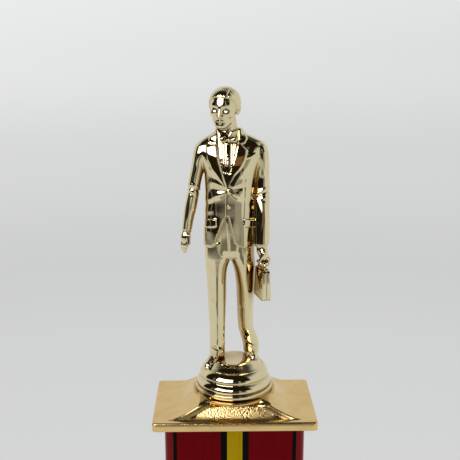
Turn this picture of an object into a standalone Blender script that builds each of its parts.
"""Column award: a plated figure with a briefcase on a round stand, screwed to a tie rod that
clamps a gold lid, a foil-wrapped rectangular column and a wooden base together.

Frame: origin under the middle of the felt pad, +Z up, the figure looks along -Y."""

import math

import bmesh
import bpy
from mathutils import Vector

MM = 0.001

# Driving sizes, in millimetres
GAP = 0.3                                   # left between pieces that touch
FELT_SIZE, FELT_THICK, FELT_HOLE_R = (98.0, 68.0), 1.5, 13.0
BASE_SIZE, BASE_HEIGHT, BASE_STEP = (100.0, 70.0), 28.0, 3.5
BASE_FOOT_HEIGHT, BASE_CHAMFER = 9.0, 1.5
COUNTERBORE_R, COUNTERBORE_DEPTH = 12.0, 11.0
COLUMN_SIZE, COLUMN_HEIGHT, COLUMN_CORNER_R = (65.2, 34.3), 123.5, 3.5
FOIL_THICK, TUBE_THICK = 0.3, 1.2
TRAY_FLOOR, TRAY_RIM = 1.6, 5.0
TRAY_SIZE, TRAY_RIM_WALL = (77.0, 47.3), 1.9
LID_SIZE, LID_CORNER_R, LID_SKIRT = (75.6, 46.8), 1.8, 4.1
LID_PLATE, LID_WALL = 1.6, 1.4
PAGODA_FOOT, PAGODA_HEAD, PAGODA_RISE = (62.0, 40.6), (32.8, 34.0), 5.6
PAGODA_STEPS, PAGODA_CURVE = 6, 1.55        # how far its four faces hollow inwards
COLLAR_R, COLLAR_TOP = 19.3, 7.7
ROD_R, ROD_HOLE_R = 3.0, 3.6
NUT_FLATS, NUT_BORE_R = 11.1, 3.3
ROD_NUT_HEIGHT, TOP_NUT_HEIGHT = 5.5, 5.0
WASHER_R, WASHER_THICK = 8.0, 1.2
TOP_WASHER_R, TOP_WASHER_THICK = 7.0, 1.0
LOCK_WASHER_R, LOCK_WASHER_THICK, LOCK_WASHER_SLIT = 5.6, 1.5, 0.9
INSERT_R, INSERT_BORE_R, INSERT_BOTTOM, INSERT_TOP = 4.5, 3.25, 15.6, 20.4
ROD_TOP = 19.6                              # above the lid's border
PLATE_SIZE, PLATE_THICK, PLATE_CORNER_R = (58.0, 13.0), 0.8, 1.5
TAPE_SIZE, TAPE_THICK = (54.0, 10.0), 0.5
CASE_CENTRE, CASE_TURN = (12.9, -4.6), math.radians(14)
CASE_HALF_LENGTH, CASE_Z = 6.4, (53.6, 67.6)
CASE_WIDTH_BOTTOM, CASE_WIDTH_TOP = 4.2, 3.0
HANDLE_R, HANDLE_HALF_SPAN, HANDLE_TOP = 0.7, 3.6, 70.6
SMOOTH_ANGLE = math.radians(38)

# Heights of the stack, bottom to top
BASE_Z = FELT_THICK + GAP
TRAY_Z = BASE_Z + BASE_HEIGHT + GAP
COLUMN_Z = TRAY_Z + TRAY_FLOOR + GAP
LID_Z = COLUMN_Z + COLUMN_HEIGHT + GAP + LID_PLATE   # the lid's flat border, and the figure's zero
BORE_TOP = BASE_Z + COUNTERBORE_DEPTH

# Round stand, (radius, height above the lid's border), down its outside and back up inside
STAND_OUTSIDE = [(11.6, 21.2), (13.2, 20.7), (14.3, 19.6), (15.5, 18.2), (16.1, 17.0), (16.2, 16.0),
                 (15.8, 14.8), (16.5, 13.8), (17.3, 12.8), (17.5, 11.6), (17.3, 10.6), (18.1, 10.3),
                 (18.4, 9.7), (18.4, 8.0)]
STAND_INSIDE = [(16.7, 8.0), (16.0, 9.6), (15.7, 12.6), (14.4, 14.4), (14.4, 17.4), (13.2, 18.7),
                (7.2, 19.6), (6.9, 15.3), (4.8, 15.3), (4.8, 20.7)]
DOME_TOP, DOME_STEPS = 22.2, 3

# Figure, each section (x, y, z above the lid's border, half width, half depth)
TORSO = [(-2.3, 3.0, 76.5, 11.9, 8.2), (-2.3, 3.0, 86, 11.7, 8.0), (-2.0, 3.0, 97, 11.0, 7.3),
         (-1.8, 3.0, 107, 11.7, 7.9), (-1.5, 3.0, 115, 12.6, 8.2), (-1.4, 3.3, 121, 13.6, 7.2),
         (-1.4, 3.4, 124.5, 11.5, 5.6), (-2.3, 3.2, 127.5, 7.0, 4.8), (-2.6, 3.0, 129.3, 5.0, 4.6)]
NECK = [(-2.6, 3.0, 125, 4.2, 4.4), (-3.3, 2.6, 131, 4.1, 4.4), (-3.8, 2.2, 136, 4.0, 4.4)]
HEAD = [(-4.0, 0.0, 131.5, 2.6, 3.2), (-4.1, 0.6, 134, 5.0, 6.3), (-4.3, 1.4, 138, 6.5, 7.9),
        (-4.5, 1.8, 141.5, 7.0, 8.5), (-4.6, 2.0, 145, 6.1, 7.6), (-4.7, 2.1, 147.4, 3.6, 4.6),
        (-4.7, 2.1, 148.4, 1.2, 1.5)]
RIGHT_ARM = [(-13.8, 3.4, 123.2, 2.6, 3.4), (-15.3, 3.4, 119, 3.4, 4.2), (-16.4, 3.4, 113, 3.1, 3.9),
             (-17.8, 3.2, 106.5, 3.0, 3.8), (-19.2, 2.6, 97.5, 2.9, 3.5), (-20.5, 1.8, 90.5, 2.6, 3.1),
             (-21.7, 1.0, 83.9, 2.4, 2.9)]
RIGHT_HAND = [(-21.8, 0.6, 85.0, 1.8, 2.1), (-22.4, 0.0, 80.0, 2.1, 2.5), (-22.9, -0.3, 76.5, 1.5, 2.2),
              (-23.2, -0.5, 73.6, 0.7, 1.1)]
LEFT_ARM = [(11.0, 3.4, 123, 2.9, 3.5), (12.8, 3.2, 119, 3.4, 4.2), (13.2, 2.6, 113, 3.2, 4.0),
            (12.9, 1.6, 106, 3.5, 4.0), (12.6, -0.2, 97.5, 3.8, 4.0), (12.4, -2.0, 88, 3.7, 3.8),
            (12.3, -3.5, 78.4, 3.5, 3.5)]
LEFT_HAND = [(12.3, -3.6, 79.5, 2.5, 2.6), (12.6, -4.1, 76, 2.8, 3.2), (12.9, -4.4, 72.2, 2.6, 3.4),
             (13.0, -4.4, 69.0, 1.7, 2.7)]
RIGHT_LEG = [(-7.6, 3.0, 79, 6.0, 6.9), (-7.9, 2.8, 69, 5.7, 6.6), (-8.2, 2.4, 62, 4.8, 5.8),
             (-8.0, 1.9, 51, 4.45, 5.2), (-7.9, 1.4, 39, 3.9, 4.6), (-8.0, 1.5, 29, 3.8, 4.5),
             (-7.8, 2.0, 24.5, 3.8, 4.6)]
LEFT_LEG = [(3.4, 3.2, 79, 6.0, 6.9), (4.3, 3.5, 69, 5.7, 6.6), (5.0, 3.9, 62, 5.0, 5.9),
            (5.5, 4.4, 52, 4.25, 5.3), (5.5, 5.2, 44, 4.0, 4.9), (5.6, 6.0, 36, 3.7, 4.6),
            (7.0, 6.8, 31, 3.8, 4.7), (8.2, 7.2, 25.5, 3.8, 4.7)]
RIGHT_SHOE = [(-5.6, 6.4, 23.4, 2.5, 2.2), (-7.4, 3.4, 24.3, 3.2, 3.3), (-9.6, 0.0, 23.4, 3.3, 2.8),
              (-11.5, -3.0, 22.4, 3.2, 2.1), (-13.2, -5.7, 21.7, 1.8, 1.2)]
LEFT_SHOE = [(7.2, 10.6, 23.2, 2.5, 2.2), (7.7, 7.6, 24.2, 3.2, 3.3), (8.3, 4.6, 23.6, 3.2, 2.9),
             (8.9, 1.8, 22.9, 3.0, 2.2), (9.4, -0.9, 22.2, 1.8, 1.2)]
PARTING_Y = 3.0                             # the plane where the two moulded halves meet
MOULDED_WALL = 1.8
LIMB_SIDES, TORSO_SIDES, ROUND_SIDES = 12, 18, 40


def material(name, color, roughness, metallic):
    found = bpy.data.materials.new(name)
    found.use_nodes = True
    shader = found.node_tree.nodes["Principled BSDF"]
    shader.inputs["Base Color"].default_value = (*color, 1.0)
    shader.inputs["Roughness"].default_value = roughness
    shader.inputs["Metallic"].default_value = metallic
    return found


def object_from(name, mesh_builder, finish, cutter=False):
    """One named object from a bmesh. A cutter or a joined shape is hidden from renders."""
    mesh = bpy.data.meshes.new(name)
    bmesh.ops.recalc_face_normals(mesh_builder, faces=mesh_builder.faces)
    mesh_builder.to_mesh(mesh)
    mesh_builder.free()
    mesh.shade_smooth()
    mesh.set_sharp_from_angle(angle=SMOOTH_ANGLE)
    made = bpy.data.objects.new(name, mesh)
    if finish:
        made.data.materials.append(finish)
    if cutter:
        made.hide_render = True
        made.display_type = "WIRE"
    bpy.context.scene.collection.objects.link(made)
    return made


def bridge(work, rings):
    """Faces between rings of equal length, and a cap on the first and on the last."""
    loops = [[work.verts.new(Vector(point) * MM) for point in ring] for ring in rings]
    for lower, upper in zip(loops, loops[1:]):
        for i, vert in enumerate(lower):
            after = (i + 1) % len(lower)
            work.faces.new((vert, lower[after], upper[after], upper[i]))
    work.faces.new(loops[0][::-1])
    work.faces.new(loops[-1])


def rounded_rectangle(half_x, half_y, radius, z, corner_steps=4):
    ring = []
    for corner, (sx, sy) in enumerate([(1, 1), (-1, 1), (-1, -1), (1, -1)]):
        for step in range(corner_steps + 1):
            angle = math.radians(90 * (corner + step / corner_steps))
            ring.append((sx * (half_x - radius) + radius * math.cos(angle),
                         sy * (half_y - radius) + radius * math.sin(angle), z))
    return ring


def stacked(name, levels, finish=None, cutter=False):
    """A solid through rounded rectangles, each (half x, half y, corner radius, z)."""
    work = bmesh.new()
    bridge(work, [rounded_rectangle(*level) for level in levels])
    return object_from(name, work, finish, cutter)


def disc(name, radius, bottom, top, sides=ROUND_SIDES, finish=None, cutter=False, turn=0.0):
    work = bmesh.new()
    angles = [turn + 2 * math.pi * i / sides for i in range(sides)]
    bridge(work, [[(radius * math.cos(a), radius * math.sin(a), z) for a in angles] for z in (bottom, top)])
    return object_from(name, work, finish, cutter)


def turned(name, profile, finish=None, cutter=False):
    """A solid of revolution about Z through (radius, z) points, which start and end on the axis."""
    work = bmesh.new()
    verts = [work.verts.new((radius * MM, 0, z * MM)) for radius, z in profile]
    edges = [work.edges.new(pair) for pair in zip(verts, verts[1:])]
    bmesh.ops.spin(work, geom=verts + edges, cent=(0, 0, 0), axis=(0, 0, 1), angle=2 * math.pi,
                   steps=ROUND_SIDES, use_merge=True)
    bmesh.ops.remove_doubles(work, verts=work.verts, dist=1e-6)
    return object_from(name, work, finish, cutter)


def loft(name, sections, sides=LIMB_SIDES, shrink=0.0, upright=True, cutter=True):
    """A closed tube through elliptic sections. An upright one has level sections, and any other has
    sections square to its own run with their half depth standing up."""
    work = bmesh.new()
    rings = []
    for i, (x, y, z, half_width, half_depth) in enumerate(sections):
        before, after = sections[max(i - 1, 0)], sections[min(i + 1, len(sections) - 1)]
        side, rise = Vector((1, 0, 0)), Vector((0, 1, 0))
        if not upright:
            run = Vector((after[0] - before[0], after[1] - before[1], 0)).normalized()
            side, rise = Vector((-run.y, run.x, 0)), Vector((0, 0, 1))
        centre = Vector((x, y, z + LID_Z))
        angles = [2 * math.pi * k / sides for k in range(sides)]
        rings.append([centre + side * (half_width - shrink) * math.cos(a)
                      + rise * (half_depth - shrink) * math.sin(a) for a in angles])
    bridge(work, rings)
    return object_from(name, work, None, cutter)


def half_space(name, low_y, high_y):
    """A block that takes away one side of the parting plane."""
    work = bmesh.new()
    reach = 60.0
    bridge(work, [[(-reach, low_y, z), (reach, low_y, z), (reach, high_y, z), (-reach, high_y, z)]
                  for z in (LID_Z, LID_Z + 2.8 * reach)])
    return object_from(name, work, None, True)


def boolean(target, others, operation):
    """Adds one Boolean of a whole group of helper objects."""
    group = bpy.data.collections.new(f"{target.name}_{operation.lower()}")
    bpy.context.scene.collection.children.link(group)
    for other in others:
        group.objects.link(other)
    modifier = target.modifiers.new(group.name, "BOOLEAN")
    modifier.operation = operation
    modifier.operand_type = "COLLECTION"
    modifier.collection = group
    return target


def on_case(along, across, z):
    """A point of the briefcase, along its length from its middle, across it and at a height."""
    cos, sin = math.cos(CASE_TURN), math.sin(CASE_TURN)
    return (CASE_CENTRE[0] + along * sin + across * cos,
            CASE_CENTRE[1] - along * cos + across * sin, z + LID_Z)


def briefcase_solid(name, finish=None, grow=0.0, cutter=False):
    work = bmesh.new()
    rings = []
    for z, width in ((CASE_Z[0] - grow, CASE_WIDTH_BOTTOM), (CASE_Z[1] + grow, CASE_WIDTH_TOP)):
        reach, half = CASE_HALF_LENGTH + grow, width / 2 + grow
        corners = ((-reach, -half), (-reach, half), (reach, half), (reach, -half))
        rings.append([on_case(along, across, z) for along, across in corners])
    bridge(work, rings)
    return object_from(name, work, finish, cutter)


def handle_solid(name, radius, finish=None, cutter=False):
    """The case's handle: a round bar from the case top, over the grip and back down."""
    foot = CASE_Z[1] + GAP
    path = [(-HANDLE_HALF_SPAN, foot), (-0.93 * HANDLE_HALF_SPAN, HANDLE_TOP - 0.9),
            (-0.6 * HANDLE_HALF_SPAN, HANDLE_TOP), (0.6 * HANDLE_HALF_SPAN, HANDLE_TOP),
            (0.93 * HANDLE_HALF_SPAN, HANDLE_TOP - 0.9), (HANDLE_HALF_SPAN, foot)]
    bar = bpy.data.curves.new(name, "CURVE")
    bar.dimensions = "3D"
    bar.bevel_depth = radius * MM
    bar.bevel_resolution = 2
    bar.use_fill_caps = True
    spline = bar.splines.new("POLY")
    spline.points.add(len(path) - 1)
    for point, (along, z) in zip(spline.points, path):
        point.co = (*(Vector(on_case(along, 0, z)) * MM), 1)
    made = bpy.data.objects.new(name, bar)
    if finish:
        bar.materials.append(finish)
    bpy.context.scene.collection.objects.link(made)
    return made


def handle_clearance():
    """The handle's path, thicker by the gap, as a mesh that the hand is cut with."""
    curve = handle_solid("handle_path", HANDLE_R + GAP)
    mesh = bpy.data.meshes.new_from_object(curve)
    bpy.data.objects.remove(curve)
    work = bmesh.new()
    work.from_mesh(mesh)
    bmesh.ops.remove_doubles(work, verts=work.verts, dist=1e-6)
    bpy.data.meshes.remove(mesh)
    return object_from("handle_clearance", work, None, True)


def stand_profile(grow=0.0):
    """The stand's outside from the middle of its domed top to its underside, grown by a clearance."""
    edge_r, edge_z = STAND_OUTSIDE[0]
    shares = [i / DOME_STEPS for i in range(DOME_STEPS)]
    dome = [(edge_r * share, DOME_TOP - (DOME_TOP - edge_z) * share ** 2 + grow) for share in shares]
    outside = dome + [(r + grow, z + grow) for r, z in STAND_OUTSIDE]
    return [(r, z + LID_Z) for r, z in outside]


def figure_half(name, finish, far_side):
    """One moulded half: the joined lofts, hollowed, cleared for its neighbours and cut in two."""
    half = loft(name, TORSO, TORSO_SIDES, cutter=False)
    half.data.materials.append(finish)
    boolean(half, [
        loft(name + "_neck", NECK), loft(name + "_head", HEAD, TORSO_SIDES),
        loft(name + "_right_arm", RIGHT_ARM), loft(name + "_right_hand", RIGHT_HAND),
        loft(name + "_left_arm", LEFT_ARM), loft(name + "_left_hand", LEFT_HAND),
        loft(name + "_right_leg", RIGHT_LEG), loft(name + "_left_leg", LEFT_LEG),
        loft(name + "_right_shoe", RIGHT_SHOE, upright=False),
        loft(name + "_left_shoe", LEFT_SHOE, upright=False)], "UNION")
    boolean(half, [
        loft(name + "_torso_hollow", TORSO[:7], 10, MOULDED_WALL),
        loft(name + "_right_leg_hollow", RIGHT_LEG[:6], 8, MOULDED_WALL),
        loft(name + "_left_leg_hollow", LEFT_LEG[:6], 8, MOULDED_WALL)], "DIFFERENCE")
    cutters = [far_side, turned(name + "_stand_clearance", stand_profile(GAP) + [(0, LID_Z)], cutter=True),
               briefcase_solid(name + "_case_clearance", grow=GAP, cutter=True), handle_clearance()]
    for cutter in cutters:
        boolean(half, [cutter], "DIFFERENCE")
    return half


def hex_nut(name, bottom, height, finish):
    nut = disc(name, NUT_FLATS / math.sqrt(3), bottom, bottom + height, 6, finish)
    thread = disc(name + "_thread", NUT_BORE_R, bottom - 1, bottom + height + 1, cutter=True)
    return boolean(nut, [thread], "DIFFERENCE")


def washer(name, radius, bottom, height, finish):
    ring = disc(name, radius, bottom, bottom + height, finish=finish)
    hole = disc(name + "_hole", ROD_HOLE_R, bottom - 1, bottom + height + 1, cutter=True)
    return boolean(ring, [hole], "DIFFERENCE")


def felt_pad(finish):
    x, y = FELT_SIZE[0] / 2, FELT_SIZE[1] / 2
    pad = stacked("felt_pad", [(x, y, 1.5, 0), (x, y, 1.5, FELT_THICK)], finish)
    return boolean(pad, [disc("felt_hole", FELT_HOLE_R, -1, FELT_THICK + 1, cutter=True)], "DIFFERENCE")


def base_block(finish):
    x, y, top = BASE_SIZE[0] / 2, BASE_SIZE[1] / 2, BASE_Z + BASE_HEIGHT
    inner_x, inner_y, shelf = x - BASE_STEP, y - BASE_STEP, BASE_Z + BASE_FOOT_HEIGHT
    block = stacked("base_block", [
        (x, y, 1.5, BASE_Z), (x, y, 1.5, shelf - BASE_CHAMFER),
        (x - BASE_CHAMFER, y - BASE_CHAMFER, 1.0, shelf),
        (inner_x, inner_y, 1.0, shelf + 0.2), (inner_x, inner_y, 1.0, top - BASE_CHAMFER),
        (inner_x - BASE_CHAMFER, inner_y - BASE_CHAMFER, 0.6, top)], finish)
    bores = [disc("base_rod_hole", ROD_HOLE_R, BASE_Z + 2, top + 1, cutter=True),
             disc("base_counterbore", COUNTERBORE_R, BASE_Z - 1, BORE_TOP, cutter=True)]
    return boolean(block, bores, "DIFFERENCE")


def name_plate(finish, tape_finish):
    """The blank engraving plate and the tape that holds it to the front of the base."""
    front = -(BASE_SIZE[1] / 2 - BASE_STEP)
    middle = BASE_Z + (BASE_FOOT_HEIGHT + BASE_HEIGHT - BASE_CHAMFER) / 2
    made = []
    for name, size, thick, back, coat in (
            ("name_plate_tape", TAPE_SIZE, TAPE_THICK, front - GAP, tape_finish),
            ("name_plate", PLATE_SIZE, PLATE_THICK, front - 2 * GAP - TAPE_THICK, finish)):
        work = bmesh.new()
        outline = rounded_rectangle(size[0] / 2, size[1] / 2, PLATE_CORNER_R, 0)
        bridge(work, [[(x, y, z + middle) for x, z, _ in outline] for y in (back, back - thick)])
        made.append(object_from(name, work, coat))
    return made


def column_tray(finish):
    """The gold foot that the column stands in."""
    x, y = TRAY_SIZE[0] / 2, TRAY_SIZE[1] / 2
    wall_x, wall_y = (side / 2 + GAP + TRAY_RIM_WALL for side in COLUMN_SIZE)
    tray = stacked("column_foot", [
        (x, y, 2.0, TRAY_Z), (x, y, 2.0, TRAY_Z + TRAY_FLOOR - 0.4),
        (x - 0.4, y - 0.4, 1.8, TRAY_Z + TRAY_FLOOR),
        (wall_x + 1.2, wall_y + 1.2, 2.8, TRAY_Z + 2.4), (wall_x, wall_y, 3.8, TRAY_Z + 4.0),
        (wall_x - 0.3, wall_y - 0.3, 3.8, TRAY_Z + TRAY_RIM)], finish)
    pocket_x, pocket_y = (side / 2 + GAP for side in COLUMN_SIZE)
    pocket = stacked("tray_pocket", [(pocket_x, pocket_y, COLUMN_CORNER_R, TRAY_Z + TRAY_FLOOR),
                                     (pocket_x, pocket_y, COLUMN_CORNER_R, TRAY_Z + TRAY_RIM + 1)],
                     cutter=True)
    hole = disc("tray_hole", ROD_HOLE_R, TRAY_Z - 1, TRAY_Z + 3, cutter=True)
    return boolean(tray, [pocket, hole], "DIFFERENCE")


def sleeve(name, outer, wall, radius, finish):
    """A rectangular tube with rounded corners, open at both ends."""
    low, high = COLUMN_Z, COLUMN_Z + COLUMN_HEIGHT
    tube = stacked(name, [(outer[0], outer[1], radius, low), (outer[0], outer[1], radius, high)], finish)
    inner = (outer[0] - wall, outer[1] - wall, radius - wall)
    hollow = stacked(name + "_inside", [(*inner, low - 1), (*inner, high + 1)], cutter=True)
    return boolean(tube, [hollow], "DIFFERENCE")


def pagoda(name, inset, bottom, rise, cutter=True):
    """The lid's raised middle: four faces that hollow inwards as they climb."""
    foot_x, foot_y = (side / 2 - inset for side in PAGODA_FOOT)
    head_x, head_y = (side / 2 - inset for side in PAGODA_HEAD)
    levels = []
    for step in range(PAGODA_STEPS + 1):
        along = step / PAGODA_STEPS
        levels.append((foot_x + (head_x - foot_x) * along, foot_y + (head_y - foot_y) * along, 0.6,
                       LID_Z + bottom + rise * along ** PAGODA_CURVE))
    levels[0] = (*levels[0][:3], LID_Z + bottom - 0.5)
    return stacked(name, levels, cutter=cutter)


def lid(finish):
    """The gold lid: a skirted plate with its raised middle and the round collar the figure stands on."""
    x, y = LID_SIZE[0] / 2, LID_SIZE[1] / 2
    made = stacked("lid", [
        (x, y, LID_CORNER_R, LID_Z - LID_SKIRT), (x, y, LID_CORNER_R, LID_Z - 0.8),
        (x - 0.25, y - 0.25, LID_CORNER_R - 0.2, LID_Z - 0.25),
        (x - 0.8, y - 0.8, LID_CORNER_R - 0.6, LID_Z)], finish)
    collar = disc("lid_collar", COLLAR_R, LID_Z + 4.2, LID_Z + COLLAR_TOP, cutter=True)
    boolean(made, [pagoda("lid_pagoda", 0, 0, PAGODA_RISE), collar], "UNION")
    inner = (x - LID_WALL, y - LID_WALL, 0.8)
    levels = [(*inner, LID_Z - LID_SKIRT - 1), (*inner, LID_Z - LID_PLATE)]
    hollow = stacked("lid_inside", levels, cutter=True)
    boss = pagoda("lid_boss_inside", 3.0, -LID_PLATE - 0.2, PAGODA_RISE - 0.6)
    hole = disc("lid_rod_hole", ROD_HOLE_R, LID_Z - LID_SKIRT, LID_Z + COLLAR_TOP + 1, cutter=True)
    return boolean(made, [hollow, boss, hole], "DIFFERENCE")


def lock_washer(finish):
    bottom = BORE_TOP - GAP - WASHER_THICK - GAP - LOCK_WASHER_THICK
    ring = washer("lock_washer", LOCK_WASHER_R, bottom, LOCK_WASHER_THICK, finish)
    work = bmesh.new()
    half = LOCK_WASHER_SLIT / 2
    bridge(work, [[(0, -half, z), (8, -half, z), (8, half, z), (0, half, z)]
                  for z in (bottom - 1, bottom + LOCK_WASHER_THICK + 1)])
    return boolean(ring, [object_from("lock_washer_slit", work, None, True)], "DIFFERENCE")


def fixings(steel, brass):
    washer_bottom = BORE_TOP - GAP - WASHER_THICK
    nut_bottom = washer_bottom - 2 * GAP - LOCK_WASHER_THICK - ROD_NUT_HEIGHT
    washer("rod_washer", WASHER_R, washer_bottom, WASHER_THICK, steel)
    lock_washer(steel)
    hex_nut("rod_nut", nut_bottom, ROD_NUT_HEIGHT, steel)
    disc("tie_rod", ROD_R, nut_bottom - 1.5, LID_Z + ROD_TOP, 24, steel)
    top = LID_Z + COLLAR_TOP + GAP
    washer("top_washer", TOP_WASHER_R, top, TOP_WASHER_THICK, steel)
    hex_nut("top_nut", top + TOP_WASHER_THICK + GAP, TOP_NUT_HEIGHT, steel)
    insert = disc("threaded_insert", INSERT_R, LID_Z + INSERT_BOTTOM, LID_Z + INSERT_TOP, finish=brass)
    low, high = LID_Z + INSERT_BOTTOM - 1, LID_Z + INSERT_TOP + 1
    thread = disc("insert_thread", INSERT_BORE_R, low, high, cutter=True)
    boolean(insert, [thread], "DIFFERENCE")


def main():
    for old in list(bpy.data.objects):
        bpy.data.objects.remove(old)
    plating = material("champagne_plating", (0.72, 0.66, 0.48), 0.08, 1.0)
    gold = material("gold_plating", (0.72, 0.56, 0.26), 0.22, 1.0)
    foil = material("striped_foil", (0.35, 0.01, 0.02), 0.3, 0.6)
    tube = material("tube_board", (0.62, 0.60, 0.55), 0.8, 0.0)
    wood = material("base_wood", (0.13, 0.055, 0.025), 0.35, 0.0)
    felt = material("pad_felt", (0.03, 0.12, 0.06), 0.95, 0.0)
    steel = material("zinc_steel", (0.62, 0.62, 0.60), 0.35, 1.0)
    brass = material("insert_brass", (0.75, 0.58, 0.28), 0.3, 1.0)
    tape = material("foam_tape", (0.8, 0.8, 0.78), 0.9, 0.0)
    aluminium = material("plate_aluminium", (0.84, 0.66, 0.32), 0.25, 1.0)

    felt_pad(felt)
    base_block(wood)
    name_plate(aluminium, tape)
    column_tray(gold)
    half_x, half_y = COLUMN_SIZE[0] / 2, COLUMN_SIZE[1] / 2
    sleeve("column_foil", (half_x, half_y), FOIL_THICK, COLUMN_CORNER_R, foil)
    inside = FOIL_THICK + GAP
    sleeve("column_tube", (half_x - inside, half_y - inside), TUBE_THICK, COLUMN_CORNER_R - inside, tube)
    lid(gold)
    fixings(steel, brass)
    inner = [(r, z + LID_Z) for r, z in STAND_INSIDE]
    turned("figure_stand", stand_profile() + inner + [(0, inner[-1][1])], plating)
    reach = 60.0
    figure_half("figure_front_half", plating, half_space("behind", PARTING_Y - GAP / 2, reach))
    figure_half("figure_back_half", plating, half_space("in_front", -reach, PARTING_Y + GAP / 2))
    briefcase_solid("briefcase", plating)
    handle_solid("briefcase_handle", HANDLE_R, plating)


main()
